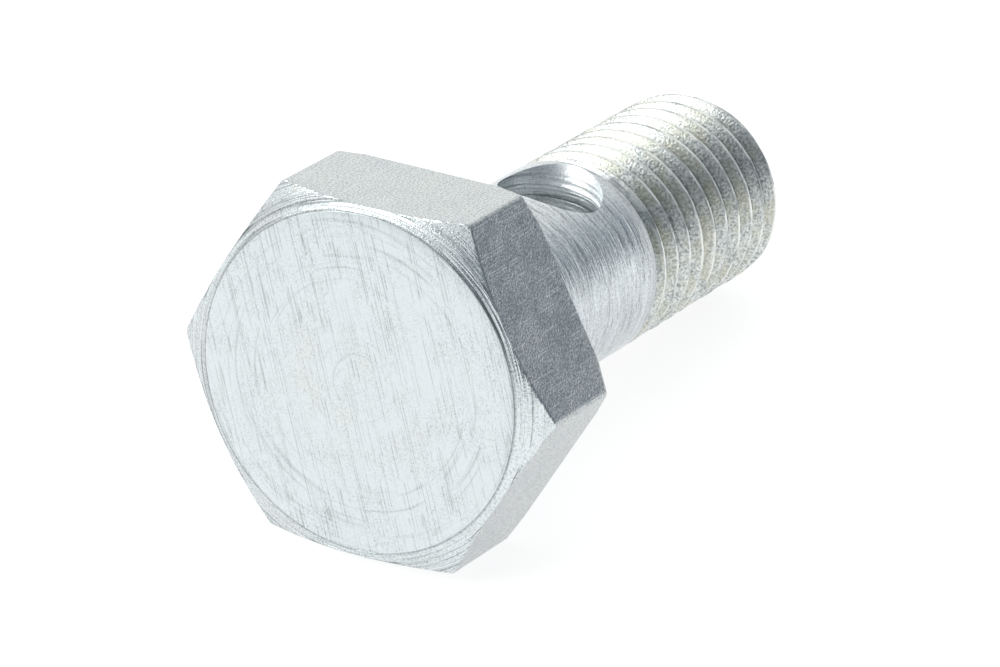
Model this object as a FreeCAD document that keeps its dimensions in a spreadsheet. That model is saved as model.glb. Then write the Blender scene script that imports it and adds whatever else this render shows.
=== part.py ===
import FreeCAD, Part
import math
import os

import Sketcher

# Fuel line bolt: a hollow hexagon bolt, turned and drilled from one bar.
# The bolt's own frame has its origin where the axis meets the bearing face under the head.
# +X runs down the shank to the thread end, and +Z is the normal of one flat of the head.
# The finished body leans down by the angle at which the bolt lies at rest on a flat floor.
# The thread's blank is a plain cylinder at the crests, from the run-in groove to the end chamfer.

# Lengths in millimetres, angles in degrees. Slopes are measured from the plane of the face.
SIZES = {
    "across_flats": 17.0,
    "head_height": 6.0,
    "corner_radius": 0.3,
    "face_diameter": 16.2,
    "ring_diameter": 17.1,
    "ring_slope": 22.0,
    "crown_slope": 31.0,
    "bearing_diameter": 18.4,
    "bearing_slope": 30.0,
    "shank_length": 26.6,
    "neck_diameter": 9.9,
    "neck_length": 13.2,
    "underhead_radius": 0.3,
    "thread_diameter": 9.9,
    "run_in_width": 0.8,
    "run_in_depth": 0.5,
    "run_in_slant": 0.25,
    "end_chamfer": 1.0,
    "bore_diameter": 5.5,
    "bore_depth": 19.5,
    "bore_mouth_chamfer": 0.4,
    "drill_point_angle": 118.0,
    "cross_hole_diameter": 5.0,
    "cross_hole_position": 10.5,
    "cross_hole_turn": 5.5,
}

# The turned profiles reach this far past the bar's flats, and past its face
CLEAR_OF_BAR = 2.0

# How a sketch numbers its own origin point and its own two axes
SKETCH_ORIGIN = (-1, 1)
SKETCH_AXES = {"level": -1, "upright": -2}
HEXAGON_SIDES = 6


def make_sheet(doc):
    """The driving dimensions, one cell each, named by its alias."""
    sheet = doc.addObject("Spreadsheet::Sheet", "sizes")
    for row, (name, value) in enumerate(SIZES.items(), start=1):
        sheet.set(f"A{row}", name)
        sheet.set(f"B{row}", str(value))
        sheet.setAlias(f"B{row}", name)
    doc.recompute()
    return sheet


def value_of(sheet, formula):
    """The number that a formula gives now, as a sketch's first guess."""
    return float(sheet.evalExpression(formula))


def new_sketch(body, name, plane_role):
    """A sketch on one of the body's own origin planes."""
    sketch = body.newObject("Sketcher::SketchObject", name)
    plane = [p for p in body.Origin.OriginFeatures if p.Role == plane_role][0]
    sketch.AttachmentSupport = [(plane, "")]
    sketch.MapMode = "FlatFace"
    return sketch


def hold_on_axis(sketch, axis, *point):
    """Keep a point of a sketch on the sketch's level or upright axis."""
    sketch.addConstraint(Sketcher.Constraint("PointOnObject", *point, SKETCH_AXES[axis]))


def constrain(sketch, formula, kind, *arguments):
    """A dimension in a sketch that follows a formula on the sheet."""
    index = sketch.addConstraint(Sketcher.Constraint(kind, *arguments))
    sketch.setExpression(f"Constraints[{index}]", formula)


def draw_profile(sketch, sheet, corners):
    """A closed outline in a plane through the bolt's axis.

    Each corner is a pair of formulas: its place along the axis, and its radius.
    """
    points = []
    for along, radius in corners:
        points.append(FreeCAD.Vector(value_of(sheet, along), value_of(sheet, radius), 0))
    count = len(points)
    for i in range(count):
        sketch.addGeometry(Part.LineSegment(points[i], points[(i + 1) % count]), False)
    for i in range(count):
        sketch.addConstraint(Sketcher.Constraint("Coincident", i, 2, (i + 1) % count, 1))
    for i, (along, radius) in enumerate(corners):
        if radius == "0":
            hold_on_axis(sketch, "level", i, 1)
        else:
            constrain(sketch, radius, "DistanceY", *SKETCH_ORIGIN, i, 1, points[i].y)
        if along == "0":
            hold_on_axis(sketch, "upright", i, 1)
        else:
            constrain(sketch, along, "DistanceX", *SKETCH_ORIGIN, i, 1, points[i].x)


def draw_hexagon(sketch, sheet):
    """The bar's section: a regular hexagon about the axis, with one pair of flats level."""
    width = value_of(sheet, "sizes.across_flats")
    corner_radius = width / 2 / math.cos(math.pi / HEXAGON_SIDES)
    rim = Part.Circle(FreeCAD.Vector(0, 0, 0), FreeCAD.Vector(0, 0, 1), corner_radius)
    corners = [rim.value(2 * math.pi * i / HEXAGON_SIDES) for i in range(HEXAGON_SIDES)]
    for i in range(HEXAGON_SIDES):
        side = Part.LineSegment(corners[i], corners[(i + 1) % HEXAGON_SIDES])
        sketch.addGeometry(side, False)
    circle = sketch.addGeometry(rim, True)
    sketch.addConstraint(Sketcher.Constraint("Coincident", circle, 3, *SKETCH_ORIGIN))
    for i in range(HEXAGON_SIDES):
        following = (i + 1) % HEXAGON_SIDES
        sketch.addConstraint(Sketcher.Constraint("Coincident", i, 2, following, 1))
        sketch.addConstraint(Sketcher.Constraint("PointOnObject", i, 1, circle))
        if following:
            sketch.addConstraint(Sketcher.Constraint("Equal", i, following))
    top_side, bottom_side = 1, 4
    sketch.addConstraint(Sketcher.Constraint("Horizontal", top_side))
    constrain(sketch, "sizes.across_flats", "DistanceY", bottom_side, 1, top_side, 1, width)


def revolve(body, kind, name, sketch):
    """A full turn of a sketch about the bolt's axis, added or cut away."""
    feature = body.newObject(f"PartDesign::{kind}", name)
    feature.Profile = sketch
    feature.ReferenceAxis = (sketch, ["H_Axis"])
    feature.Angle = 360.0
    return feature


def turn_away(body, sheet, name, corners):
    """Cut a profile away all round the axis, as a lathe tool does."""
    sketch = new_sketch(body, f"{name}_profile", "XZ_Plane")
    draw_profile(sketch, sheet, corners)
    revolve(body, "Groove", name, sketch)


def round_edges(body, name, feature, radius_formula, is_wanted):
    """A fillet on those edges of a feature that pass a test."""
    names = []
    for number, edge in enumerate(feature.Shape.Edges, start=1):
        if is_wanted(edge):
            names.append(f"Edge{number}")
    fillet = body.newObject("PartDesign::Fillet", name)
    fillet.Base = (feature, names)
    fillet.setExpression("Radius", radius_formula)


def add_head(doc, body, sheet):
    """The hexagon head, from the bearing face back to the face, with the bar's rounded corners."""
    sketch = new_sketch(body, "head_section", "YZ_Plane")
    draw_hexagon(sketch, sheet)
    head = body.newObject("PartDesign::Pad", "head")
    head.Profile = sketch
    head.Reversed = True
    head.setExpression("Length", "sizes.head_height")
    doc.recompute()

    def is_bar_corner(edge):
        start, end = edge.Vertexes[0].Point, edge.Vertexes[1].Point
        return abs(start.x - end.x) > head.Length.Value / 2

    round_edges(body, "head_corners", head, "sizes.corner_radius", is_bar_corner)
    doc.recompute()


def add_shank(doc, body, sheet):
    """Neck, run-in groove and thread blank in one turned profile, with the chamfered end."""
    neck = "sizes.neck_diameter / 2"
    thread = "sizes.thread_diameter / 2"
    groove_floor = f"{neck} - sizes.run_in_depth"
    groove_start = "sizes.neck_length"
    groove_end = f"{groove_start} + sizes.run_in_width"
    sketch = new_sketch(body, "shank_profile", "XZ_Plane")
    corners = [
        ("0", "0"),
        ("0", neck),
        (groove_start, neck),
        (f"{groove_start} + sizes.run_in_slant", groove_floor),
        (f"{groove_end} - sizes.run_in_slant", groove_floor),
        (groove_end, thread),
        ("sizes.shank_length - sizes.end_chamfer", thread),
        ("sizes.shank_length", f"{thread} - sizes.end_chamfer"),
        ("sizes.shank_length", "0"),
    ]
    draw_profile(sketch, sheet, corners)
    shank = revolve(body, "Revolution", "shank", sketch)
    doc.recompute()
    neck_radius = value_of(sheet, neck)
    close_enough = 1e-4

    def is_under_head(edge):
        if not isinstance(edge.Curve, Part.Circle):
            return False
        at_bearing_face = abs(edge.Curve.Center.x) < close_enough
        return at_bearing_face and abs(edge.Curve.Radius - neck_radius) < close_enough

    round_edges(body, "underhead_blend", shank, "sizes.underhead_radius", is_under_head)
    doc.recompute()


def turn_head_chamfers(body, sheet):
    """Cones turned over the head's corners: two slopes round the face, one at the bearing side."""
    outside = f"(sizes.across_flats / 2 + {CLEAR_OF_BAR})"
    face_place = "-sizes.head_height"
    ring = "sizes.ring_diameter / 2"
    ring_place = f"{face_place} + ({ring} - sizes.face_diameter / 2) * tan(sizes.ring_slope)"
    crown_place = f"{ring_place} + ({outside} - {ring}) * tan(sizes.crown_slope)"
    face_chamfer = [
        (f"{face_place} - {CLEAR_OF_BAR}", "sizes.face_diameter / 2"),
        (face_place, "sizes.face_diameter / 2"),
        (ring_place, ring),
        (crown_place, outside),
        (f"{face_place} - {CLEAR_OF_BAR}", outside),
    ]
    turn_away(body, sheet, "face_chamfer", face_chamfer)
    bearing_rim = "sizes.bearing_diameter / 2"
    bearing_chamfer = [
        ("0", bearing_rim),
        ("0", outside),
        (f"-({outside} - {bearing_rim}) * tan(sizes.bearing_slope)", outside),
    ]
    turn_away(body, sheet, "bearing_chamfer", bearing_chamfer)


def drill_fuel_bore(body, sheet):
    """The blind bore up the axis from the thread end, with its drill point and chamfered mouth."""
    radius = "sizes.bore_diameter / 2"
    full_depth = "sizes.shank_length - sizes.bore_depth"
    fuel_bore = [
        (f"{full_depth} - {radius} / tan(sizes.drill_point_angle / 2)", "0"),
        (full_depth, radius),
        ("sizes.shank_length - sizes.bore_mouth_chamfer", radius),
        ("sizes.shank_length", f"{radius} + sizes.bore_mouth_chamfer"),
        ("sizes.shank_length", "0"),
    ]
    turn_away(body, sheet, "fuel_bore", fuel_bore)


def drill_cross_hole(doc, body, sheet):
    """The hole right through the neck into the bore, turned a little from the top flat's normal."""
    doc.recompute()
    volume_before = body.Shape.Volume
    sketch = new_sketch(body, "cross_hole_section", "XY_Plane")
    about_bolt_axis = FreeCAD.Rotation(FreeCAD.Vector(1, 0, 0), 1.0)
    sketch.AttachmentOffset = FreeCAD.Placement(FreeCAD.Vector(0, 0, 0), about_bolt_axis)
    sketch.setExpression("AttachmentOffset.Rotation.Angle", "sizes.cross_hole_turn")
    centre = FreeCAD.Vector(value_of(sheet, "sizes.cross_hole_position"), 0, 0)
    width = value_of(sheet, "sizes.cross_hole_diameter")
    rim = Part.Circle(centre, FreeCAD.Vector(0, 0, 1), width / 2)
    circle = sketch.addGeometry(rim, False)
    hold_on_axis(sketch, "level", circle, 3)
    place = "sizes.cross_hole_position"
    constrain(sketch, place, "DistanceX", *SKETCH_ORIGIN, circle, 3, centre.x)
    constrain(sketch, "sizes.cross_hole_diameter", "Diameter", circle, width)
    hole = body.newObject("PartDesign::Pocket", "cross_hole")
    hole.Profile = sketch
    hole.SideType = "Symmetric"
    hole.Type = "Length"
    hole.setExpression("Length", f"sizes.neck_diameter + {CLEAR_OF_BAR}")
    doc.recompute()
    if body.Shape.Volume >= volume_before:
        raise RuntimeError("the cross hole cut nothing")


def lay_at_rest(body):
    """Lean the bolt down about Y until the head's lower flat and the last crest share a floor."""
    about_y = FreeCAD.Rotation(FreeCAD.Vector(0, 1, 0), 1.0)
    body.Placement = FreeCAD.Placement(FreeCAD.Vector(0, 0, 0), about_y)
    drop = "(sizes.across_flats - sizes.thread_diameter) / 2"
    reach = "(sizes.shank_length - sizes.end_chamfer)"
    body.setExpression("Placement.Rotation.Angle", f"atan({drop} / {reach})")


def build_bolt(doc, sheet):
    """The whole bolt as one body, in the order in which it is made."""
    body = doc.addObject("PartDesign::Body", "banjo_bolt")
    body.Label = "banjo_bolt"
    add_head(doc, body, sheet)
    add_shank(doc, body, sheet)
    turn_head_chamfers(body, sheet)
    drill_fuel_bore(body, sheet)
    drill_cross_hole(doc, body, sheet)
    lay_at_rest(body)
    return body


def check(doc, bodies):
    """Stop before anything is written if a feature failed or a solid is broken."""
    for item in doc.Objects:
        if "Invalid" in item.State or "Error" in item.State:
            raise RuntimeError(f"{item.Name} failed: {item.State}")
    for body in bodies:
        if body.Shape.isNull() or not body.Shape.isValid():
            raise RuntimeError(f"{body.Label} has no valid shape")
        if len(body.Shape.Solids) != 1:
            raise RuntimeError(f"{body.Label} is not one solid")


def main():
    doc = FreeCAD.newDocument("fuel_line_bolt")
    sheet = make_sheet(doc)
    bodies = [build_bolt(doc, sheet)]
    doc.recompute()
    check(doc, bodies)
    os.makedirs("parts", exist_ok=True)
    for body in bodies:
        body.Shape.exportStep(f"parts/{body.Label}.step")
        print(body.Label, "volume", round(body.Shape.Volume, 1), body.Shape.BoundBox)


main()
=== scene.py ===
import math

import bmesh
import bpy
from mathutils import Matrix, Vector


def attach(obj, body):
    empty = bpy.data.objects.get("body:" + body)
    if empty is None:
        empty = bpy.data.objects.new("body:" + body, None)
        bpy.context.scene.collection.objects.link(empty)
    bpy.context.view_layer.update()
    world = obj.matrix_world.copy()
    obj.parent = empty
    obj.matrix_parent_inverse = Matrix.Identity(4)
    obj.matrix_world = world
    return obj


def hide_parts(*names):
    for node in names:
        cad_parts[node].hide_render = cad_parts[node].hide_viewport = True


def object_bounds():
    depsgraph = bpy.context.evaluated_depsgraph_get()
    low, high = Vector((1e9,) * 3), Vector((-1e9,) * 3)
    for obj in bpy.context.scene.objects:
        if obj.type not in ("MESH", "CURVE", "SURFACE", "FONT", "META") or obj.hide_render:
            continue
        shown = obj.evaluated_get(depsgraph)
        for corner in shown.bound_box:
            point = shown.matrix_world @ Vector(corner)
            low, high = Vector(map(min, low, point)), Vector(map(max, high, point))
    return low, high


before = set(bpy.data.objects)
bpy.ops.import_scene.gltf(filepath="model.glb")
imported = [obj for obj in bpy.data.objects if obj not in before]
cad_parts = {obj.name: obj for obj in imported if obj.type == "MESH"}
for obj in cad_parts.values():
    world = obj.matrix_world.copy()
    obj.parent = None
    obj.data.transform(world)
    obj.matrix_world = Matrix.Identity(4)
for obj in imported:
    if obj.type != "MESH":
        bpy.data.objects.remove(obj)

# Fuel line bolt: a hollow hexagon bolt of zinc-plated steel, lying on its side.
# Sizes are in millimetres in the bolt's own frame: the origin is where the axis meets the
# bearing face under the head, +X runs to the thread end and +Z is the normal of one flat.

cad_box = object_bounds()
MM = 0.001
MICROMETRE = 1e-6

# The head, with its slopes in degrees
ACROSS_FLATS = 17.0
HEAD_HEIGHT = 6.0
CORNER_RADIUS = 0.3
FACE_RADIUS = 8.1
RING_RADIUS = 8.55
RING_SLOPE = 22.0
CROWN_SLOPE = 31.0
BEARING_RADIUS = 9.2
BEARING_SLOPE = 30.0
BEARING_INNER_RADIUS = 8.0
EDGE_BREAK = 0.035

# The shank: its plain neck, the run-in groove and the end
SHANK_LENGTH = 26.6
SHANK_RADIUS = 4.95
UNDERHEAD_RADIUS = 0.3
NECK_LENGTH = 13.2
RUN_IN_WIDTH = 0.8
RUN_IN_DEPTH = 0.5
RUN_IN_SLANT = 0.25
END_CHAMFER = 1.0

# The thread
THREAD_PITCH = 1.25
THREAD_DEPTH = 0.767
THREAD_START = NECK_LENGTH + RUN_IN_WIDTH - RUN_IN_SLANT
THREAD_FADE = 0.7
FIRST_CREST = 13.479
FLANK_ANGLE = 60.0
CREST_ROUNDING = 0.13

# The uneven wear of its crests: depth, how often it changes along and around, and noise levels
CREST_WEAR = 0.05
WEAR_PER_MM = 0.8
WEAR_AROUND = 3.0
WEAR_RANGE = (0.35, 0.7)

# The blind fuel bore along the axis
BORE_RADIUS = 2.75
BORE_DEPTH = 19.5
BORE_MOUTH = 0.4
DRILL_POINT_ANGLE = 118.0

# The cross hole through the neck, and the cylinder that cuts it
CROSS_HOLE_RADIUS = 2.5
CROSS_HOLE_POSITION = 10.5
CROSS_HOLE_TURN = 5.5
DRILL_SIDES = 128
DRILL_STEPS = 160
DRILL_LENGTH_PER_RADIUS = 2.4

# The drill's rings in the hole's wall, and the smooth mouth on the side away from the head
DRILL_RING_DEPTH = 0.22
DRILL_RING_SPACING = 0.30
DRILL_RING_LIMIT = 0.3
DRILL_RING_WANDER = 0.1
SMOOTH_MOUTH = 1.1
SMOOTH_MOUTH_FADE = 0.9
SMOOTH_SIDE = (-0.3, 0.6)

# The angle at which the bolt leans on the head's lower flat and the last crest
REST_DROP = (ACROSS_FLATS / 2) - SHANK_RADIUS
REST_TILT = math.atan(REST_DROP / (SHANK_LENGTH - END_CHAMFER))

# The sheet's columns go round the axis, close together at the hexagon's corners, in degrees
SECTORS = 6
HALF_SECTOR = 180.0 / SECTORS
CORNER_COLUMNS = [0.0, 0.3, 0.6, 0.884, 1.25, 2.0, 3.2, 5.0]
COLUMN_STEP = 2.5

# The sheet's rows go along the bolt's outline, with these distances between them
FACE_SPACING = 0.9
NECK_SPACING = 0.3
GROOVE_SPACING = 0.12
MOUTH_SPACING = 0.4
BORE_SPACING = 0.5
AXIS_GAP = 0.02
BLEND_STEPS = 6

# The head's straight runs from the face's rim to the bearing face: finish and number of steps
HEAD_RUNS = [("chamfer", 2), ("chamfer", 3), ("flats", 4), ("turned", 2), ("turned", 2)]
AT_EDGE, PAST_EDGE = 1.0, 4.0

# Rows from a crest of the thread to the bottom of its groove, in shares of the pitch
THREAD_STATIONS = [0.0, 0.03, 0.06, 0.085, 0.111, 0.2, 0.31, 0.42, 0.45]

# What a row of the sheet becomes
TURNED, HEAD, THREAD = 0, 1, 2

# The least length of a run, and the largest inset from its ends as a share of it
SHORTEST_RUN = 1e-6
LARGEST_INSET = 0.48

# Points nearer than this are merged on the bent sheet, in millimetres
SHEET_MERGE = 0.0004

# On the finished mesh, in metres: nearer points are merged, and shorter edges are dissolved
POINT_MERGE = 3e-7
SHORTEST_EDGE = 1e-7

# Edges that turn by more than this look sharp, in degrees
SHARP_ANGLE = 32.0


class Number:
    """A number in a node tree. Arithmetic between numbers adds Math nodes."""

    def __init__(self, tree, socket):
        self.tree = tree
        self.socket = socket

    def math(self, operation, *others, first=None):
        node = self.tree.nodes.new("ShaderNodeMath")
        node.operation = operation
        values = (self, *others) if first is None else (first, self, *others)
        for slot, value in zip(node.inputs, values):
            if isinstance(value, Number):
                self.tree.links.new(value.socket, slot)
            else:
                slot.default_value = value
        return Number(self.tree, node.outputs[0])

    def __add__(self, other):
        return self.math("ADD", other)

    __radd__ = __add__

    def __sub__(self, other):
        return self.math("SUBTRACT", other)

    def __rsub__(self, other):
        return self.math("SUBTRACT", first=other)

    def __mul__(self, other):
        return self.math("MULTIPLY", other)

    __rmul__ = __mul__

    def __truediv__(self, other):
        return self.math("DIVIDE", other)

    def at_least(self, other):
        return self.math("MAXIMUM", other)

    def at_most(self, other):
        return self.math("MINIMUM", other)

    def between(self, low, high):
        return self.at_least(low).at_most(high)

    def above(self, other):
        return self.math("GREATER_THAN", other)

    def is_near(self, other):
        """1 where the number is within a tenth of the other, 0 elsewhere."""
        return self.math("COMPARE", other, 0.1)

    def sine(self):
        return self.math("SINE")

    def cosine(self):
        return self.math("COSINE")

    def root(self):
        return self.math("SQRT")

    def size(self):
        return self.math("ABSOLUTE")

    def smooth_step(self, low, high):
        """Rises smoothly from 0 at the low end to 1 at the high end."""
        share = ((self - low) / (high - low)).between(0.0, 1.0)
        return share * share * (3.0 - 2.0 * share)


def mix(share, low, high):
    """The low value where the share is 0, the high one where it is 1."""
    return low + share * (high - low)


def vector(tree, x, y, z):
    """A vector socket put together from three numbers."""
    node = tree.nodes.new("ShaderNodeCombineXYZ")
    for slot, value in zip(node.inputs, (x, y, z)):
        if isinstance(value, Number):
            tree.links.new(value.socket, slot)
        else:
            slot.default_value = value
    return node.outputs[0]


def split(tree, socket):
    """The three numbers of a vector socket."""
    node = tree.nodes.new("ShaderNodeSeparateXYZ")
    tree.links.new(socket, node.inputs[0])
    return [Number(tree, output) for output in node.outputs]


def noise_level(tree, place, detail, roughness=0.5):
    """Smooth noise from 0 to 1 with forms about one unit of the place across."""
    noise = tree.nodes.new("ShaderNodeTexNoise")
    noise.inputs["Scale"].default_value = 1.0
    noise.inputs["Detail"].default_value = detail
    noise.inputs["Roughness"].default_value = roughness
    tree.links.new(place, noise.inputs["Vector"])
    return Number(tree, noise.outputs[0])


def column_angles():
    """Angles of the sheet's columns round the axis, in radians."""
    from_corner = list(CORNER_COLUMNS)
    while from_corner[-1] + COLUMN_STEP < HALF_SECTOR - COLUMN_STEP / 2:
        from_corner.append(from_corner[-1] + COLUMN_STEP)
    from_corner.append(HALF_SECTOR)
    angles = []
    for sector in range(SECTORS):
        start = 2 * HALF_SECTOR * sector
        angles += [start + a for a in from_corner]
        angles += [start + 2 * HALF_SECTOR - a for a in reversed(from_corner[1:-1])]
    angles.append(360.0)
    return [math.radians(a) for a in angles]


def turned_row(place, radius, finish):
    return {"zone": TURNED, "place": place, "radius": radius, "finish": finish}


def turned_rows(finish, corners, spacing):
    """Rows along straight runs between corners, kept off each corner by the edge break."""
    rows = []
    for (x0, r0), (x1, r1) in zip(corners, corners[1:]):
        length = math.hypot(x1 - x0, r1 - r0)
        edge = min(EDGE_BREAK, length / 3) / length
        steps = max(1, round(length / spacing))
        shares = [edge + (1 - 2 * edge) * i / steps for i in range(steps + 1)]
        for share in shares:
            rows.append(turned_row(x0 + (x1 - x0) * share, r0 + (r1 - r0) * share, finish))
    return rows


def head_rows():
    """Rows over the head's straight runs, with one at each edge break and one just past it."""
    rows = []
    for run, (finish, steps) in enumerate(HEAD_RUNS):
        places = [(0.0, AT_EDGE), (0.0, PAST_EDGE)]
        places += [(i / steps, 0.0) for i in range(1, steps)]
        places += [(1.0, -PAST_EDGE), (1.0, -AT_EDGE)]
        for share, side in places:
            row = {"zone": HEAD, "run": run, "share": share, "side": side, "finish": finish}
            rows.append(row)
    return rows


def thread_rows():
    """Rows that follow the helix, eighteen to a turn, from before the run-in to past the end."""
    other_flank = [1.0 - station for station in reversed(THREAD_STATIONS[1:])]
    stations = THREAD_STATIONS + [0.5] + other_flank
    first = math.floor((THREAD_START - FIRST_CREST) / THREAD_PITCH) - 1
    last = math.ceil((SHANK_LENGTH - FIRST_CREST) / THREAD_PITCH) + 1
    rows = []
    for turn in range(first, last):
        for station in stations:
            rows.append({"zone": THREAD, "turn": turn + station, "finish": "thread"})
    return rows


def underhead_rows():
    """Rows over the rounded corner between the bearing face and the neck."""
    rows = []
    for i in range(1, BLEND_STEPS):
        angle = math.radians(90.0 * i / BLEND_STEPS)
        place = UNDERHEAD_RADIUS * (1 - math.cos(angle))
        radius = SHANK_RADIUS + UNDERHEAD_RADIUS * (1 - math.sin(angle))
        rows.append(turned_row(place, radius, "turned"))
    return rows


def sheet_rows():
    """Every row of the sheet, from the face's centre over the outside and up the bore."""
    face = -HEAD_HEIGHT
    neck = SHANK_RADIUS
    groove = neck - RUN_IN_DEPTH
    slant = RUN_IN_SLANT
    end = SHANK_LENGTH
    chamfer_root = neck - END_CHAMFER
    mouth = BORE_RADIUS + BORE_MOUTH
    bore_start = end - BORE_MOUTH
    bore_end = end - BORE_DEPTH
    tip = bore_end - BORE_RADIUS / math.tan(math.radians(DRILL_POINT_ANGLE / 2))

    rows = [turned_row(face, 0.0, "face")]
    rows += turned_rows("face", [(face, AXIS_GAP), (face, FACE_RADIUS)], FACE_SPACING)
    rows += head_rows()
    under_head = [(0.0, BEARING_INNER_RADIUS), (0.0, neck + UNDERHEAD_RADIUS)]
    rows += turned_rows("turned", under_head, FACE_SPACING)
    rows += underhead_rows()
    rows += turned_rows("turned", [(UNDERHEAD_RADIUS, neck), (NECK_LENGTH, neck)], NECK_SPACING)
    run_in = [(NECK_LENGTH, neck), (NECK_LENGTH + slant, groove), (THREAD_START, groove)]
    rows += turned_rows("turned", run_in, GROOVE_SPACING)
    rows.append(turned_row(THREAD_START, groove, "thread"))
    rows += thread_rows()
    rows.append(turned_row(end, chamfer_root, "turned"))
    end_face = [(end, chamfer_root), (end, mouth), (bore_start, BORE_RADIUS)]
    rows += turned_rows("turned", end_face, MOUTH_SPACING)
    rows += turned_rows("bore", [(bore_start, BORE_RADIUS), (bore_end, BORE_RADIUS)], BORE_SPACING)
    rows += turned_rows("bore", [(bore_end, BORE_RADIUS), (tip, AXIS_GAP)], BORE_SPACING)
    rows.append(turned_row(tip, 0.0, "bore"))
    return rows


FINISHES = ["face", "chamfer", "flats", "turned", "thread", "bore", "cross_hole"]
ROW_VALUES = ["zone", "place", "radius", "run", "share", "side", "turn"]


def flat_sheet(rows, angles):
    """A flat mesh of rows and columns whose points carry what the tree needs to bend it."""
    mesh = bpy.data.meshes.new("bolt_sheet")
    columns = len(angles)
    points = [(column, row, 0) for row in range(len(rows)) for column in range(columns)]
    faces = []
    finishes = []
    for row in range(len(rows) - 1):
        for column in range(columns - 1):
            low = row * columns + column
            faces.append((low, low + columns, low + columns + 1, low + 1))
            finishes.append(FINISHES.index(rows[row]["finish"]))
    mesh.from_pydata(points, [], faces)
    around = mesh.attributes.new("around", "FLOAT", "POINT")
    around.data.foreach_set("value", angles * len(rows))
    for name in ROW_VALUES:
        layer = mesh.attributes.new(name, "FLOAT", "POINT")
        values = [row.get(name, 0.0) for row in rows for column in range(columns)]
        layer.data.foreach_set("value", values)
    finish = mesh.attributes.new("finish", "INT", "FACE")
    finish.data.foreach_set("value", finishes)
    return mesh


def hexagon_radius(around, flats, corner_radius):
    """The bar's radius at each angle: flats, with an arc at each corner."""
    half = math.radians(HALF_SECTOR)
    from_corner = ((around + half).math("FLOORED_MODULO", 2 * half) - half).size()
    flat = flats / 2 / (half - from_corner).cosine()
    arc_centre = (flats / 2 - corner_radius) / math.cos(half)
    aside = arc_centre * from_corner.sine()
    inside = (corner_radius * corner_radius - aside * aside).at_least(0.0)
    arc = arc_centre * from_corner.cosine() + inside.root()
    arc_ends = half - (arc_centre * math.sin(half) / (flats / 2)).math("ARCTANGENT")
    return mix(arc_ends.above(from_corner), flat, arc)


def along_runs(corners, run, share, side, edge):
    """The place and radius of a point on a run of straight lines between corners.

    The run says which line, the share how far along it, and the side how many edge breaks
    further in from its end.
    """
    place, radius = 0.0, 0.0
    for i, ((x0, r0), (x1, r1)) in enumerate(zip(corners, corners[1:])):
        dx, dr = x1 - x0, r1 - r0
        length = (dx * dx + dr * dr).root().at_least(SHORTEST_RUN)
        inset = (edge * side / length).between(-LARGEST_INSET, LARGEST_INSET)
        t = (share + inset).between(0.0, 1.0)
        here = run.is_near(float(i))
        place = place + here * (x0 + dx * t)
        radius = radius + here * (r0 + dr * t)
    return place, radius


def from_crest(place, around, first_crest, pitch):
    """The distance along the axis from a point of the thread to the nearest crest."""
    turns = (place - first_crest) / pitch - around / (2 * math.pi)
    return ((turns + 0.5).math("FLOORED_MODULO", 1.0) - 0.5).size() * pitch


def thread_groove(aside, rounding, depth):
    """How deep the thread lies below its crests: rounded crest, straight flanks, flat root."""
    flank = math.radians(FLANK_ANGLE)
    flank_begins = rounding * math.sin(flank)
    crest = rounding - (rounding * rounding - aside * aside).at_least(0.0).root()
    straight = rounding * (1.0 - math.cos(flank)) + (aside - flank_begins) * math.tan(flank)
    return mix(aside.above(flank_begins), crest, straight).at_most(depth)


def crest_wear(tree, place, around):
    """An uneven share from 0 to 1 by which handling has flattened the crests."""
    side, up = around.cosine() * WEAR_AROUND, around.sine() * WEAR_AROUND
    spot = vector(tree, place * WEAR_PER_MM, side, up)
    return noise_level(tree, spot, 1.0).smooth_step(*WEAR_RANGE)


def head_outline(sizes, around, run, share, side):
    """Place and radius on the head: a hexagon bar cut back by turned cones."""
    bar = hexagon_radius(around, sizes["Across flats"], sizes["Corner radius"])
    rim, ring = sizes["Face radius"], sizes["Ring radius"]
    bearing = sizes["Bearing radius"]
    face = 0.0 - sizes["Head height"]
    to_ring = bar.at_most(ring)
    ring_place = face + (to_ring - rim) * sizes["Ring slope"].math("TANGENT")
    front = ring_place + (bar - ring).at_least(0.0) * sizes["Crown slope"].math("TANGENT")
    back = 0.0 - (bar - bearing).at_least(0.0) * sizes["Bearing slope"].math("TANGENT")
    corners = [
        (face, rim), (ring_place, to_ring), (front, bar), (back, bar),
        (back * 0.0, bar.at_most(bearing)), (back * 0.0, sizes["Bearing inner radius"]),
    ]
    return along_runs(corners, run, share, side, sizes["Edge break"])


def thread_outline(tree, sizes, around, turn):
    """Place and radius on the thread, a helical groove that the run-in and end chamfer hold in."""
    pitch, crest = sizes["Pitch"], sizes["Shank radius"]
    begin, end = sizes["Thread start"], sizes["Shank length"]
    turns = turn + around / (2 * math.pi)
    place = (sizes["First crest"] + pitch * turns).between(begin, end)
    aside = from_crest(place, around, sizes["First crest"], pitch)
    groove = thread_groove(aside, sizes["Crest rounding"], sizes["Thread depth"])
    worn = crest_wear(tree, place, around) * sizes["Crest wear"]
    fade = place.smooth_step(begin, begin + sizes["Thread fade"])
    threaded = crest - groove.at_least(worn) * fade
    run_in_wall = crest - sizes["Run-in depth"] * (1.0 - (place - begin) / sizes["Run-in slant"])
    chamfer = crest - sizes["End chamfer"] + (end - place)
    return place, threaded.at_most(run_in_wall).at_most(chamfer)


def named_value(tree, name, kind="FLOAT"):
    """A value that the sheet's points or faces carry."""
    node = tree.nodes.new("GeometryNodeInputNamedAttribute")
    node.data_type = kind
    node.inputs["Name"].default_value = name
    return Number(tree, node.outputs["Attribute"])


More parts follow.
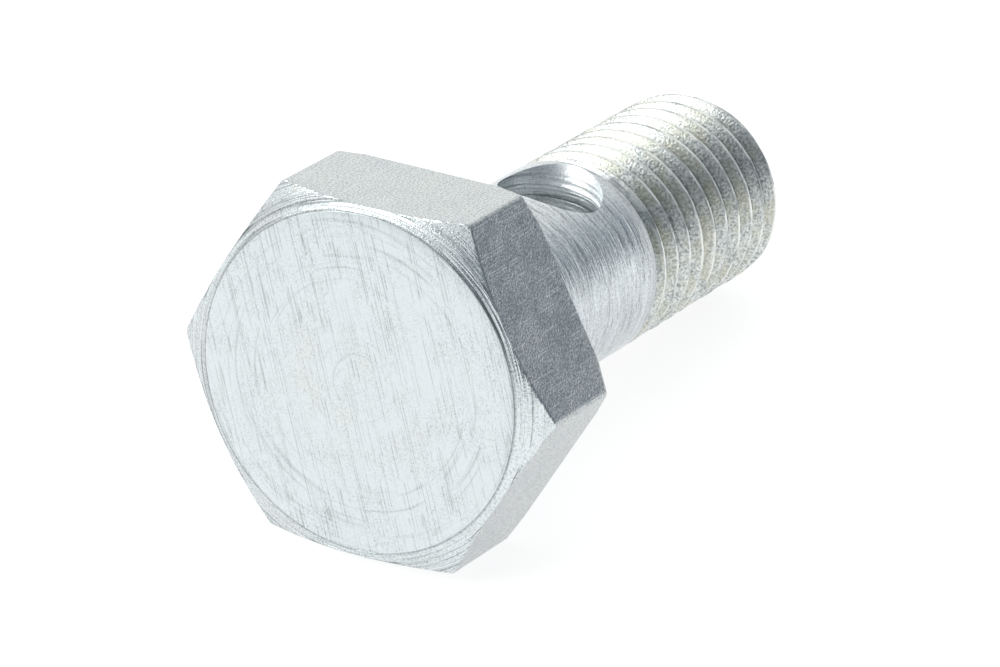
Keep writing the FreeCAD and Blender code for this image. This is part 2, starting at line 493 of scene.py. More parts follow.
def bolt_tree():
    """Bends the flat sheet into the bolt: turned rows, the hexagon head and the thread."""
    tree = bpy.data.node_groups.new("turned_hexagon_bolt", "GeometryNodeTree")
    interface = tree.interface
    interface.new_socket("Geometry", in_out="OUTPUT", socket_type="NodeSocketGeometry")
    interface.new_socket("Geometry", in_out="INPUT", socket_type="NodeSocketGeometry")
    for name in BOLT_SIZES:
        interface.new_socket(name, in_out="INPUT", socket_type="NodeSocketFloat")
    for finish in FINISHES:
        interface.new_socket(f"Finish {finish}", in_out="INPUT", socket_type="NodeSocketMaterial")
    start = tree.nodes.new("NodeGroupInput")
    sizes = {name: Number(tree, start.outputs[name]) for name in BOLT_SIZES}
    row = {name: named_value(tree, name) for name in ["around"] + ROW_VALUES}

    around = row["around"]
    head = head_outline(sizes, around, row["run"], row["share"], row["side"])
    thread = thread_outline(tree, sizes, around, row["turn"])
    place, radius = row["place"], row["radius"]
    for zone, outline in ((THREAD, thread), (HEAD, head)):
        is_zone = row["zone"].is_near(float(zone))
        place, radius = mix(is_zone, place, outline[0]), mix(is_zone, radius, outline[1])

    bend = tree.nodes.new("GeometryNodeSetPosition")
    tree.links.new(start.outputs["Geometry"], bend.inputs["Geometry"])
    bent = vector(tree, place, radius * around.cosine(), radius * around.sine())
    tree.links.new(bent, bend.inputs["Position"])
    close = tree.nodes.new("GeometryNodeMergeByDistance")
    close.inputs["Distance"].default_value = SHEET_MERGE
    tree.links.new(bend.outputs["Geometry"], close.inputs["Geometry"])
    geometry = drill_cross_hole(tree, sizes, close.outputs["Geometry"])
    lay_down = tree.nodes.new("GeometryNodeTransform")
    tree.links.new(geometry, lay_down.inputs["Geometry"])
    tree.links.new(vector(tree, 0.0, sizes["Rest tilt"], 0.0), lay_down.inputs["Rotation"])
    lay_down.inputs["Scale"].default_value = (MM, MM, MM)
    realize = tree.nodes.new("GeometryNodeRealizeInstances")
    tree.links.new(lay_down.outputs["Geometry"], realize.inputs["Geometry"])

    geometry = realize.outputs["Geometry"]
    finish_number = named_value(tree, "finish", "INT")
    for number, finish in enumerate(FINISHES):
        wanted = finish_number.is_near(number)
        geometry = set_material(tree, geometry, start.outputs[f"Finish {finish}"], wanted)
    end = tree.nodes.new("NodeGroupOutput")
    tree.links.new(geometry, end.inputs["Geometry"])
    return tree


def set_material(tree, geometry, material, wanted):
    """Gives the wanted faces a material."""
    node = tree.nodes.new("GeometryNodeSetMaterial")
    tree.links.new(geometry, node.inputs["Geometry"])
    tree.links.new(material, node.inputs["Material"])
    tree.links.new(wanted.socket, node.inputs["Selection"])
    return node.outputs["Geometry"]


def drill_rings(tree, sizes):
    """The drill's position with its radius made uneven, as the rings that it leaves.

    The rings fade out towards each mouth on the side away from the head.
    """
    position = tree.nodes.new("GeometryNodeInputPosition")
    x, y, z = split(tree, position.outputs["Position"])
    radius = sizes["Cross hole radius"]
    wander = (x * DRILL_RING_WANDER, y * DRILL_RING_WANDER)
    level = noise_level(tree, vector(tree, *wander, z / sizes["Drill ring spacing"]), 2.0)
    from_mouth = z.size() - (sizes["Shank radius"] - sizes["Smooth mouth"])
    near_mouth = from_mouth.smooth_step(0.0, SMOOTH_MOUTH_FADE)
    away = (x / radius).smooth_step(*SMOOTH_SIDE)
    cut_in = (level - 0.5).between(-DRILL_RING_LIMIT, DRILL_RING_LIMIT)
    cut_in = cut_in * sizes["Drill ring depth"] * (1.0 - near_mouth * away)
    share = 1.0 - cut_in / radius
    return vector(tree, x * share, y * share, z)


def drill_cross_hole(tree, sizes, geometry):
    """Cuts the cross hole right through the neck."""
    drill = tree.nodes.new("GeometryNodeMeshCylinder")
    drill.inputs["Vertices"].default_value = DRILL_SIDES
    drill.inputs["Side Segments"].default_value = DRILL_STEPS
    tree.links.new(sizes["Cross hole radius"].socket, drill.inputs["Radius"])
    length = sizes["Shank radius"] * DRILL_LENGTH_PER_RADIUS
    tree.links.new(length.socket, drill.inputs["Depth"])
    label = tree.nodes.new("GeometryNodeStoreNamedAttribute")
    label.data_type = "INT"
    label.domain = "FACE"
    label.inputs["Name"].default_value = "finish"
    label.inputs["Value"].default_value = FINISHES.index("cross_hole")
    tree.links.new(drill.outputs["Mesh"], label.inputs["Geometry"])
    rings = tree.nodes.new("GeometryNodeSetPosition")
    tree.links.new(label.outputs["Geometry"], rings.inputs["Geometry"])
    tree.links.new(drill_rings(tree, sizes), rings.inputs["Position"])
    aim = tree.nodes.new("GeometryNodeTransform")
    tree.links.new(rings.outputs["Geometry"], aim.inputs["Geometry"])
    tree.links.new(vector(tree, sizes["Cross hole position"], 0.0, 0.0), aim.inputs["Translation"])
    tree.links.new(vector(tree, sizes["Cross hole turn"], 0.0, 0.0), aim.inputs["Rotation"])
    cut = tree.nodes.new("GeometryNodeMeshBoolean")
    cut.operation = "DIFFERENCE"
    cut.solver = "EXACT"
    tree.links.new(geometry, cut.inputs["Mesh 1"])
    tree.links.new(aim.outputs["Geometry"], cut.inputs["Mesh 2"])
    return cut.outputs["Mesh"]


BOLT_SIZES = {
    "Across flats": ACROSS_FLATS,
    "Head height": HEAD_HEIGHT,
    "Corner radius": CORNER_RADIUS,
    "Face radius": FACE_RADIUS,
    "Ring radius": RING_RADIUS,
    "Ring slope": math.radians(RING_SLOPE),
    "Crown slope": math.radians(CROWN_SLOPE),
    "Bearing radius": BEARING_RADIUS,
    "Bearing slope": math.radians(BEARING_SLOPE),
    "Bearing inner radius": BEARING_INNER_RADIUS,
    "Edge break": EDGE_BREAK,
    "Shank radius": SHANK_RADIUS,
    "Shank length": SHANK_LENGTH,
    "Run-in depth": RUN_IN_DEPTH,
    "Run-in slant": RUN_IN_SLANT,
    "End chamfer": END_CHAMFER,
    "Pitch": THREAD_PITCH,
    "Thread depth": THREAD_DEPTH,
    "Crest rounding": CREST_ROUNDING,
    "Crest wear": CREST_WEAR,
    "Thread start": THREAD_START,
    "Thread fade": THREAD_FADE,
    "First crest": FIRST_CREST,
    "Cross hole radius": CROSS_HOLE_RADIUS,
    "Cross hole position": CROSS_HOLE_POSITION,
    "Cross hole turn": math.radians(CROSS_HOLE_TURN),
    "Drill ring depth": DRILL_RING_DEPTH,
    "Drill ring spacing": DRILL_RING_SPACING,
    "Smooth mouth": SMOOTH_MOUTH,
    "Rest tilt": REST_TILT,
}


def make_bolt(materials):
    """Runs the tree on the flat sheet and keeps the result as a plain closed mesh."""
    sheet = flat_sheet(sheet_rows(), column_angles())
    blank = bpy.data.objects.new("bolt_blank", sheet)
    bpy.context.scene.collection.objects.link(blank)
    tree = bolt_tree()
    modifier = blank.modifiers.new("turned_hexagon_bolt", "NODES")
    modifier.node_group = tree
    for item in tree.interface.items_tree:
        if item.in_out == "INPUT" and item.name in BOLT_SIZES:
            modifier[item.identifier] = BOLT_SIZES[item.name]
        elif item.in_out == "INPUT" and item.name.startswith("Finish "):
            modifier[item.identifier] = materials[item.name.removeprefix("Finish ")]
    bpy.context.view_layer.update()
    evaluated = blank.evaluated_get(bpy.context.evaluated_depsgraph_get())
    mesh = bpy.data.meshes.new_from_object(evaluated)
    mesh.name = "fuel_line_bolt"
    blank.modifiers.clear()
    bpy.data.objects.remove(blank)
    tidy_mesh(mesh)
    bolt = bpy.data.objects.new("fuel_line_bolt", mesh)
    bpy.context.scene.collection.objects.link(bolt)
    return bolt


def tidy_mesh(mesh):
    """Merges what lies together, points the faces outwards and sets which edges look sharp."""
    shape = bmesh.new()
    shape.from_mesh(mesh)
    bmesh.ops.remove_doubles(shape, verts=shape.verts, dist=POINT_MERGE)
    bmesh.ops.dissolve_degenerate(shape, edges=shape.edges, dist=SHORTEST_EDGE)
    bmesh.ops.recalc_face_normals(shape, faces=shape.faces)
    open_edges = [edge for edge in shape.edges if not edge.is_manifold]
    print("bolt mesh:", len(shape.faces), "faces,", len(open_edges), "open edges,",
          "volume mm3", round(shape.calc_volume() / MM ** 3, 1))
    shape.to_mesh(mesh)
    shape.free()
    mesh.shade_smooth()
    mesh.set_sharp_from_angle(angle=math.radians(SHARP_ANGLE))
    for name in ["around", "finish"] + ROW_VALUES:
        layer = mesh.attributes.get(name)
        if layer is not None:
            mesh.attributes.remove(layer)


def new_group(name, inputs, outputs):
    """An empty shader group with its named sockets, and its first and last node."""
    tree = bpy.data.node_groups.new(name, "ShaderNodeTree")
    kinds = {"value": "NodeSocketFloat", "place": "NodeSocketVector", "colour": "NodeSocketColor"}
    for socket, kind in inputs.items():
        tree.interface.new_socket(socket, in_out="INPUT", socket_type=kinds[kind])
    for socket, kind in outputs.items():
        tree.interface.new_socket(socket, in_out="OUTPUT", socket_type=kinds[kind])
    return tree, tree.nodes.new("NodeGroupInput"), tree.nodes.new("NodeGroupOutput")


# Levels of the noise, from 0 to 1, between which a line, a scratch or its gap sets in
DARK_LINE = (0.30, 0.46)
BRIGHT_LINE = (0.56, 0.70)
SCRATCH_LINE = (0.36, 0.46)
SCRATCH_GAP = (0.70, 0.82)

# How far the kept share lowers the gap's levels, how many lengths a scratch's line is
# stretched by, and how many spacings wide a bundle of scratches is
GAPS_PER_SHARE = 0.5
SCRATCH_STRETCH = 12.0
SCRATCH_BUNDLE = 5.0


def turning_marks_group():
    """Fine lines that a lathe tool leaves: short across, and broken up along the way round."""
    tree, start, end = new_group(
        "turning_marks",
        {"Place": "place", "Across": "value", "Lines per mm": "value", "Line length": "value"},
        {"Height": "value", "Dark lines": "value", "Bright lines": "value"},
    )
    across = Number(tree, start.outputs["Across"])
    lines = Number(tree, start.outputs["Lines per mm"])
    length = Number(tree, start.outputs["Line length"])
    side, up = split(tree, start.outputs["Place"])[1:]
    spot = vector(tree, across * lines, side / length, up / length)
    level = noise_level(tree, spot, 3.0, 0.6)
    tree.links.new(level.socket, end.inputs["Height"])
    tree.links.new((1.0 - level.smooth_step(*DARK_LINE)).socket, end.inputs["Dark lines"])
    tree.links.new(level.smooth_step(*BRIGHT_LINE).socket, end.inputs["Bright lines"])
    return tree


def plating_grain_group():
    """The plating's own unevenness: fine grain and broad clouds."""
    tree, start, end = new_group(
        "plating_grain",
        {"Place": "place", "Grain size": "value", "Cloud size": "value"},
        {"Grain": "value", "Clouds": "value"},
    )
    x, y, z = split(tree, start.outputs["Place"])
    for output, width, detail, roughness in (
        ("Grain", "Grain size", 2.0, 0.6),
        ("Clouds", "Cloud size", 3.0, 0.55),
    ):
        size = Number(tree, start.outputs[width])
        level = noise_level(tree, vector(tree, x / size, y / size, z / size), detail, roughness)
        tree.links.new(level.socket, end.inputs[output])
    return tree


def scratches_group():
    """Long thin scratches, all one way, with gaps between them."""
    tree, start, end = new_group(
        "handling_scratches",
        {
            "Place": "place", "Turn": "place",
            "Spacing": "value", "Length": "value", "Share": "value",
        },
        {"Scratches": "value"},
    )
    turned = tree.nodes.new("ShaderNodeVectorRotate")
    turned.rotation_type = "EULER_XYZ"
    tree.links.new(start.outputs["Place"], turned.inputs["Vector"])
    tree.links.new(start.outputs["Turn"], turned.inputs["Rotation"])
    x, y, z = split(tree, turned.outputs["Vector"])
    spacing = Number(tree, start.outputs["Spacing"])
    length = Number(tree, start.outputs["Length"])
    kept_share = Number(tree, start.outputs["Share"]) * GAPS_PER_SHARE
    line_spot = vector(tree, x / spacing, y / spacing, z / (length * SCRATCH_STRETCH))
    line = 1.0 - noise_level(tree, line_spot, 1.0).smooth_step(*SCRATCH_LINE)
    bundle = spacing * SCRATCH_BUNDLE
    gaps = noise_level(tree, vector(tree, x / bundle, y / bundle, z / length), 2.0)
    kept = gaps.smooth_step(SCRATCH_GAP[0] - kept_share, SCRATCH_GAP[1] - kept_share)
    tree.links.new((line * kept).socket, end.inputs["Scratches"])
    return tree


def plating_tones_group():
    """The metal's colour: its clean tone, shaded and stained by two masks."""
    tree, start, end = new_group(
        "plating_tones",
        {
            "Clean": "colour", "Shade": "colour", "Stain": "colour",
            "Shaded": "value", "Stained": "value",
        },
        {"Colour": "colour"},
    )
    colour = start.outputs["Clean"]
    for tone, mask in (("Shade", "Shaded"), ("Stain", "Stained")):
        blend = tree.nodes.new("ShaderNodeMix")
        blend.data_type = "RGBA"
        tree.links.new(start.outputs[mask], blend.inputs["Factor"])
        tree.links.new(colour, blend.inputs["A"])
        tree.links.new(start.outputs[tone], blend.inputs["B"])
        colour = blend.outputs["Result"]
    tree.links.new(colour, end.inputs["Colour"])
    return tree


# Tones of the zinc, clean, shaded and stained
ZINC = (0.71, 0.765, 0.78)
CHAMFER_ZINC = (0.72, 0.775, 0.79)
FLAT_ZINC = (0.57, 0.61, 0.63)
NECK_ZINC = (0.72, 0.775, 0.80)
THREAD_ZINC = (0.83, 0.86, 0.84)
# Painted light: the cross hole's zinc is lighter than the rest, standing in for light inside the
# hole
CROSS_HOLE_PAINTED_LIGHT_ZINC = (0.86, 0.90, 0.92)
ZINC_SHADE = (0.30, 0.33, 0.34)
ZINC_STAIN = (0.70, 0.66, 0.52)
THREAD_STAIN = (0.56, 0.55, 0.41)

# Radii on the head between which these set in or fade: face's middle, rings, stain, rim line
FACE_MIDDLE = (1.2, 2.4)
FACE_OUTER_RINGS = (4.2, 5.2)
FACE_STAIN = (1.0, 6.0)
RIM_LINE = (8.14, 8.3)

# Where the neck runs out towards the thread, and is painted lighter as a highlight: places along
# the axis, the taper's length, and its fall over the first millimetre, in micrometres
NECK_END = (11.5, 13.0)
NECK_TAPER_START = 11.6
NECK_TAPER_LENGTH = 1.9
NECK_TAPER_FALL = 130.0

# The thread's worn crest, by the distance from its middle, and its groove's bottom, where shade is
# painted, by radius
CREST_TOP = (0.05, 0.12)
GROOVE_BOTTOM = (4.38, 4.54)

# The cross hole's mouths, which flare out and are smoother on the side away from the head
MOUTH_FLARE_LENGTH = 1.7
MOUTH_FLARE_SLOPE = 0.7
MOUTH_SMOOTH_SIDE = (CROSS_HOLE_POSITION - 0.5, CROSS_HOLE_POSITION + 1.5)
MOUTH_SMOOTH_SHARE = 0.6

# Turns that lay scratches along their way on the face and on the flats
FACE_DASHES = (math.radians(17.6), 0.0, 0.0)
FACE_STRAYS = (math.radians(-35.0), 0.0, 0.0)
ALONG_BAR = (0.0, math.radians(-90.0), 0.0)
ACROSS_BAR = (math.radians(25.0), math.radians(-40.0), 0.0)


def weighted(*layers):
    """The sum of layers, each a number with its weight."""
    total = None
    for layer, weight in layers:
        part = layer * weight
        total = part if total is None else total + part
    return total


def pits(grain, level):
    """How far the grain lies below a level."""
    return (level - grain["Grain"]).at_least(0.0)


class Finish:
    """One finish of the bolt's metal, patterned in the bolt's own frame in millimetres."""

    def __init__(self, name, groups, roughness):
        self.material = bpy.data.materials.new(name)
        self.material.use_nodes = True
        self.tree = self.material.node_tree
        self.groups = groups
        self.surface = self.tree.nodes["Principled BSDF"]
        self.surface.inputs["Metallic"].default_value = 1.0
        self.surface.inputs["Roughness"].default_value = roughness
        coordinates = self.tree.nodes.new("ShaderNodeTexCoord")
        upright = self.tree.nodes.new("ShaderNodeMapping")
        upright.inputs["Rotation"].default_value = (0.0, -REST_TILT, 0.0)
        upright.inputs["Scale"].default_value = (1.0 / MM, 1.0 / MM, 1.0 / MM)
        self.tree.links.new(coordinates.outputs["Object"], upright.inputs["Vector"])
        self.place = upright.outputs["Vector"]
        self.along, self.side, self.up = split(self.tree, self.place)
        self.radius = (self.side * self.side + self.up * self.up).root()

    def effect(self, group, **values):
        """Places a shared group with this finish's own values, and gives its outputs by name."""
        node = self.tree.nodes.new("ShaderNodeGroup")
        node.node_tree = self.groups[group]
        for name, value in values.items():
            socket = node.inputs[name.replace("_", " ")]
            if isinstance(value, Number):
                self.tree.links.new(value.socket, socket)
            else:
                socket.default_value = value
        if "Place" in node.inputs:
            self.tree.links.new(self.place, node.inputs["Place"])
        return {output.name: Number(self.tree, output) for output in node.outputs}

    def marks(self, across, lines_per_mm, line_length):
        """The lathe's lines, one behind the other across a distance."""
        return self.effect(
            "marks", Across=across, Lines_per_mm=lines_per_mm, Line_length=line_length
        )

    def grain(self, grain_size, cloud_size):
        """The plating's grain and clouds."""
        return self.effect("grain", Grain_size=grain_size, Cloud_size=cloud_size)

    def scratches(self, turn, spacing, length, share):
        """A mask of scratches, of which a share is kept."""
        return self.effect(
            "scratches", Turn=turn, Spacing=spacing, Length=length, Share=share
        )["Scratches"]

    def colour(self, shaded, stained, clean=ZINC, stain=ZINC_STAIN):
        """Colours the surface by how far it is shaded and stained."""
        tones = self.effect(
            "tones", Clean=(*clean, 1.0), Shade=(*ZINC_SHADE, 1.0), Stain=(*stain, 1.0),
            Shaded=shaded.between(0.0, 1.0), Stained=stained.between(0.0, 1.0),
        )
        self.tree.links.new(tones["Colour"].socket, self.surface.inputs["Base Color"])

    def relief(self, micrometres):
        """Bumps the surface by a height in micrometres."""
        bump = self.tree.nodes.new("ShaderNodeBump")
        bump.inputs["Distance"].default_value = MICROMETRE
        self.tree.links.new(micrometres.socket, bump.inputs["Height"])
        self.tree.links.new(bump.outputs["Normal"], self.surface.inputs["Normal"])


def face_finish(groups):
    """The head's face: faint rings, long straight scratches, and a warm stain near the middle."""
    finish = Finish("zinc_on_turned_face", groups, roughness=0.30)
    radius = finish.radius
    rings = finish.marks(radius, lines_per_mm=5.0, line_length=5.0)
    grain = finish.grain(grain_size=0.09, cloud_size=2.0)
    fine = finish.scratches(FACE_DASHES, spacing=0.075, length=1.3, share=0.6)
    deep = finish.scratches(FACE_DASHES, spacing=0.13, length=1.8, share=0.25)
    stray = finish.scratches(FACE_STRAYS, spacing=0.12, length=0.8, share=0.15)
    clouds = grain["Clouds"].smooth_step(0.35, 0.65)
    ringed = radius.smooth_step(*FACE_OUTER_RINGS) + (1.0 - radius.smooth_step(*FACE_MIDDLE))
    shaded = weighted(
        (fine, 0.40), (deep, 0.42), (stray, 0.20),
        (rings["Dark lines"], 0.06 + ringed * 0.26),
        (pits(grain, 0.53), 0.6 + clouds * 1.4),
    )
    patches = grain["Clouds"].smooth_step(0.5, 0.75)
    stained = (1.0 - radius.smooth_step(*FACE_STAIN)) * patches * 0.3
    finish.colour(shaded, stained)
    finish.relief(weighted((rings["Height"], 12.0), (grain["Grain"], 6.0), (deep, -5.0)))
    return finish.material


def chamfer_finish(groups):
    """The cones turned round the face: ring lines, darkest beside the face's rim."""
    finish = Finish("zinc_on_turned_chamfer", groups, roughness=0.19)
    across = finish.along + finish.radius
    rings = finish.marks(across, lines_per_mm=4.4, line_length=8.0)
    bold = finish.marks(across, lines_per_mm=2.2, line_length=16.0)
    grain = finish.grain(grain_size=0.11, cloud_size=1.2)
    shaded = weighted(
        (rings["Dark lines"], 0.55), (bold["Dark lines"], 0.3), (pits(grain, 0.54), 2.2),
        (1.0 - finish.radius.smooth_step(*RIM_LINE), 0.7),
    )
    finish.colour(shaded, grain["Clouds"].smooth_step(0.6, 0.8) * 0.2, clean=CHAMFER_ZINC)
    finish.relief(weighted(
        (bold["Height"], 190.0), (rings["Height"], 80.0), (grain["Grain"], 14.0)
    ))
    return finish.material


def flats_finish(groups):
    """The drawn bar's flats: mottled grain, and fine bright lines along the bar and across it."""
    finish = Finish("zinc_on_drawn_bar", groups, roughness=0.22)
    grain = finish.grain(grain_size=0.10, cloud_size=1.4)
    drawn = finish.scratches(ALONG_BAR, spacing=0.10, length=1.4, share=0.5)
    crossed = finish.scratches(ACROSS_BAR, spacing=0.12, length=0.6, share=0.3)
    lines = drawn + crossed
    clouds = grain["Clouds"].smooth_step(0.3, 0.7)
    shaded = 0.38 + weighted((0.5 - grain["Grain"], 4.2), (1.0 - clouds, 0.12), (lines, -0.4))
    finish.colour(shaded, clouds * 0.08, clean=FLAT_ZINC)
    finish.relief(weighted((grain["Grain"], 9.0 + clouds * 9.0), (lines, -2.5)))
    return finish.material


def turned_finish(groups):
    """The neck and the other turned faces: close lathe lines, bolder and painted lighter as a
    highlight where the neck runs out.
    """
    finish = Finish("zinc_on_turned_neck", groups, roughness=0.22)
    across = finish.along + finish.radius
    rings = finish.marks(across, lines_per_mm=3.0, line_length=2.6)
    fine = finish.marks(across, lines_per_mm=8.0, line_length=1.2)
    bold = finish.marks(across, lines_per_mm=4.0, line_length=8.0)
    grain = finish.grain(grain_size=0.09, cloud_size=1.6)
    near_thread = finish.along.smooth_step(*NECK_END)
    lines = rings["Dark lines"] - rings["Bright lines"] + fine["Dark lines"] - fine["Bright lines"]
    # Painted highlight: the neck's colour is lighter where it runs out towards the thread
    shaded = 0.30 + weighted((lines, 0.468), (0.5 - grain["Grain"], 1.8), (near_thread, -0.2))
    finish.colour(shaded, grain["Clouds"].smooth_step(0.6, 0.8) * 0.08, clean=NECK_ZINC)
    taper = (finish.along - NECK_TAPER_START).between(0.0, NECK_TAPER_LENGTH)
    finish.relief(weighted(
        (rings["Height"], 80.0 + near_thread * 60.0),
        (fine["Height"], 34.0 + near_thread * 20.0),
        (bold["Height"], near_thread * 300.0),
        (grain["Grain"], 14.0 + near_thread * 20.0),
        (taper * taper, -NECK_TAPER_FALL),
    ))
    return finish.material


def thread_finish(groups):
    """The thread: worn crests, mottled yellow-green flanks and painted shade as a dark line down
    in the groove.
    """
    finish = Finish("zinc_on_cut_thread", groups, roughness=0.36)
    around = finish.up.math("ARCTAN2", finish.side)
    aside = from_crest(finish.along, around, FIRST_CREST, THREAD_PITCH)
    flank = aside.smooth_step(*CREST_TOP)
    lines = finish.marks(finish.along + finish.radius, lines_per_mm=5.0, line_length=1.4)
    grain = finish.grain(grain_size=0.12, cloud_size=1.3)
    # Painted shade: the flank is darkened towards the bottom of each groove, a thin dark line
    # behind each crest
    painted_groove_shade = 1.0 - finish.radius.smooth_step(*GROOVE_BOTTOM)
    dull_crest = weighted(
        (lines["Dark lines"], 0.7), (1.0 - grain["Clouds"].smooth_step(0.36, 0.54), 0.7)
    )
    flank_tone_and_groove_shade = 0.42 + weighted(
        (painted_groove_shade, 0.65), (lines["Dark lines"] - lines["Bright lines"], 0.25),
        (0.5 - grain["Grain"], 3.2),
    )
    stained = grain["Clouds"].smooth_step(0.40, 0.65) * 0.45 * flank
    finish.colour(mix(flank, dull_crest, flank_tone_and_groove_shade), stained, THREAD_ZINC, THREAD_STAIN)
    heights = weighted((lines["Height"], 22.0), (grain["Grain"], 24.0))
    finish.relief(heights * (0.6 + flank * 0.4))
    return finish.material


def fuel_bore_finish(groups):
    """The blind bore's wall: rings left by the drill, and a matt plating."""
    finish = Finish("zinc_in_fuel_bore", groups, roughness=0.40)
    rings = finish.marks(finish.along, lines_per_mm=2.4, line_length=6.0)
    grain = finish.grain(grain_size=0.15, cloud_size=1.5)
    shaded = weighted((rings["Dark lines"], 0.3), (pits(grain, 0.52), 1.0))
    finish.colour(shaded, grain["Clouds"].smooth_step(0.5, 0.75) * 0.3)
    finish.relief(weighted((rings["Height"], 80.0), (grain["Grain"], 8.0)))
    return finish.material


def cross_hole_finish(groups):
    """The cross hole's wall: drill rings, fainter at each flared mouth away from the head, on a
    zinc painted lighter as light inside the hole.
    """
    finish = Finish("zinc_in_cross_hole", groups, roughness=0.42)
    turn = math.radians(CROSS_HOLE_TURN)
    out = (finish.up * math.cos(turn) - finish.side * math.sin(turn)).size()
    rings = finish.marks(out, lines_per_mm=3.4, line_length=9.0)
    grain = finish.grain(grain_size=0.12, cloud_size=1.2)
    flare = (out - (SHANK_RADIUS - MOUTH_FLARE_LENGTH)).at_least(0.0)
    smooth_mouth = flare.smooth_step(0.0, MOUTH_FLARE_LENGTH * MOUTH_SMOOTH_SHARE)
    smooth = smooth_mouth * finish.along.smooth_step(*MOUTH_SMOOTH_SIDE)
    shaded = 0.06 + weighted(
        (rings["Dark lines"], 1.2 - smooth * 0.8), (0.5 - grain["Grain"], 1.6)
    )
    patches = grain["Clouds"].smooth_step(0.5, 0.75)
    # Painted light: the hole's wall takes the lighter zinc that stands in for light inside it
    finish.colour(shaded, patches * 0.3, clean=CROSS_HOLE_PAINTED_LIGHT_ZINC)
    fall = MOUTH_FLARE_SLOPE / (2.0 * MOUTH_FLARE_LENGTH) * MM / MICROMETRE
    finish.relief(weighted(
        (rings["Height"], 90.0 - smooth * 50.0), (grain["Grain"], 14.0), (flare * flare, -fall)
    ))
    return finish.material


def make_finishes():
    """Every finish of the bolt, by its name on the sheet."""
    groups = {
        "marks": turning_marks_group(),
        "grain": plating_grain_group(),
        "scratches": scratches_group(),
        "tones": plating_tones_group(),
    }
    return {
        "face": face_finish(groups),
        "chamfer": chamfer_finish(groups),
        "flats": flats_finish(groups),
        "turned": turned_finish(groups),
        "thread": thread_finish(groups),
        "bore": fuel_bore_finish(groups),
        "cross_hole": cross_hole_finish(groups),
    }


# The floor, with its half width in metres
FLOOR_HALF_WIDTH = 3.0
FLOOR_WHITE = 0.30
FLOOR_GLOW = 0.85
FLOOR_ROUGHNESS = 0.9


def make_floor(height):
    """A white table that glows softly, so the bolt throws hardly any shadow on it."""
    mesh = bpy.data.meshes.new("floor")
    w = FLOOR_HALF_WIDTH
    corners = [(-w, -w, height), (w, -w, height), (w, w, height), (-w, w, height)]
    mesh.from_pydata(corners, [], [(0, 1, 2, 3)])
    floor = bpy.data.objects.new("floor", mesh)
    bpy.context.scene.collection.objects.link(floor)
    material = bpy.data.materials.new("floor_paper")
    material.use_nodes = True
    surface = material.node_tree.nodes["Principled BSDF"]
    surface.inputs["Base Color"].default_value = (FLOOR_WHITE, FLOOR_WHITE, FLOOR_WHITE, 1.0)
    surface.inputs["Roughness"].default_value = FLOOR_ROUGHNESS
    surface.inputs["Specular IOR Level"].default_value = 0.0
    surface.inputs["Emission Color"].default_value = (1.0, 1.0, 1.0, 1.0)
    surface.inputs["Emission Strength"].default_value = FLOOR_GLOW
    mesh.materials.append(material)


# The room round the bolt: each soft wall has a direction, a reach in degrees and a brightness
ROOM_BRIGHTNESS = 0.22
ROOM_TINT = (0.85, 0.95, 1.06, 1.0)
WALL_TINT = (1.0, 1.0, 0.985, 1.0)
TINT_RANGE = (0.3, 1.0)
SOFT_WALLS = [
    ((0.03, 0.06, 1.0), 62.0, 1.35),
    ((0.80, 0.52, 0.30), 85.0, 1.3),
    ((-0.62, 0.55, 0.57), 38.0, 4.3),
    ((-0.35, 0.93, 0.12), 52.0, 1.05),
    ((0.83, -0.55, 0.02), 26.0, 0.40),
]


def make_room():
    """A plain studio room: bright behind, above and on the left, dim and cool on the right."""
    world = bpy.data.worlds.new("studio_room")
    world.use_nodes = True
    tree = world.node_tree
    background = tree.nodes["Background"]
    look = tree.nodes.new("ShaderNodeTexCoord")
    x, y, z = split(tree, look.outputs["Generated"])
    brightness = ROOM_BRIGHTNESS
    for direction, reach, wall in SOFT_WALLS:
        centre = Vector(direction).normalized()
        angle = (x * centre.x + y * centre.y + z * centre.z).between(-1.0, 1.0).math("ARCCOSINE")
        share = 1.0 - angle.smooth_step(0.0, math.radians(reach))
        brightness = mix(share, brightness, wall)
    tint = tree.nodes.new("ShaderNodeMix")
    tint.data_type = "RGBA"
    tint.inputs["A"].default_value = ROOM_TINT
    tint.inputs["B"].default_value = WALL_TINT
    tree.links.new(brightness.smooth_step(*TINT_RANGE).socket, tint.inputs["Factor"])
    tree.links.new(tint.outputs["Result"], background.inputs["Color"])
    tree.links.new(brightness.socket, background.inputs["Strength"])
    bpy.context.scene.world = world


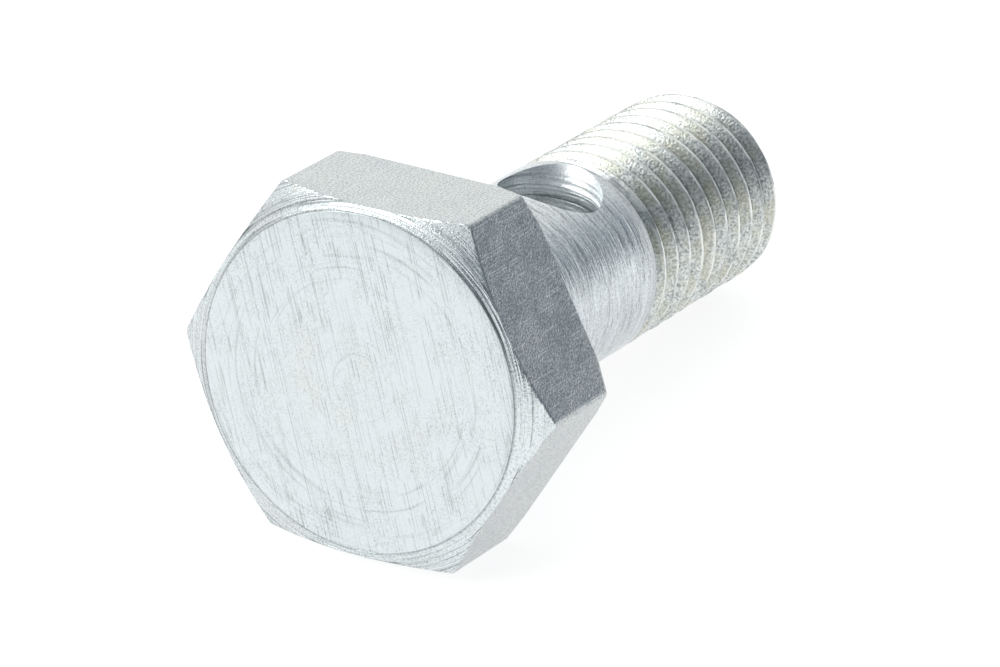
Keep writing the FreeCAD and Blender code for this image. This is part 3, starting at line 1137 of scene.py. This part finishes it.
# The lamp: its direction from the bolt, its distance and width in metres, and its power
KEY_DIRECTION = (-0.665, 0.40, 0.628)
KEY_DISTANCE = 0.8
KEY_WIDTH = 0.3
KEY_POWER = 0.7


def soft_light(name, direction, distance, width, power):
    """A square lamp that faces the bolt from a direction."""
    lamp = bpy.data.lights.new(name, "AREA")
    lamp.shape = "RECTANGLE"
    lamp.size = width
    lamp.size_y = width
    lamp.energy = power
    place = Vector(direction).normalized() * distance
    light = bpy.data.objects.new(name, lamp)
    light.rotation_euler = place.to_track_quat("Z", "Y").to_euler()
    light.location = place
    bpy.context.scene.collection.objects.link(light)


# The camera in the bolt's own frame: its place, axes and lens in millimetres
CAMERA_PLACE = (-242.17, -137.81, 111.25)
CAMERA_RIGHT = (0.49874, -0.86561, 0.04438)
CAMERA_DOWN = (-0.29934, -0.22007, -0.92843)
CAMERA_FORWARD = (0.81342, 0.44976, -0.36887)
CAMERA_LENS = 234.77
SENSOR_WIDTH = 36.0

# Nothing nearer to the camera than this is seen, in metres
NEAREST_SEEN = 0.01


def make_camera():
    """Sets the camera with a long lens, leaning with the bolt."""
    lens = bpy.data.cameras.new("camera")
    lens.lens = CAMERA_LENS
    lens.sensor_width = SENSOR_WIDTH
    lens.sensor_fit = "HORIZONTAL"
    lens.clip_start = NEAREST_SEEN
    camera = bpy.data.objects.new("camera", lens)
    right, up, back = Vector(CAMERA_RIGHT), -Vector(CAMERA_DOWN), -Vector(CAMERA_FORWARD)
    turn = Matrix((right, up, back)).transposed().to_4x4()
    lean = Matrix.Rotation(REST_TILT, 4, "Y")
    camera.matrix_world = lean @ Matrix.Translation(Vector(CAMERA_PLACE) * MM) @ turn
    bpy.context.scene.collection.objects.link(camera)
    bpy.context.scene.camera = camera


bolt = make_bolt(make_finishes())
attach(bolt, "root")
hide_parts("banjo_bolt")
make_floor(cad_box[0][2])
make_room()
soft_light("key_softbox", KEY_DIRECTION, KEY_DISTANCE, KEY_WIDTH, KEY_POWER)
make_camera()
bpy.context.scene.view_settings.view_transform = "Standard"
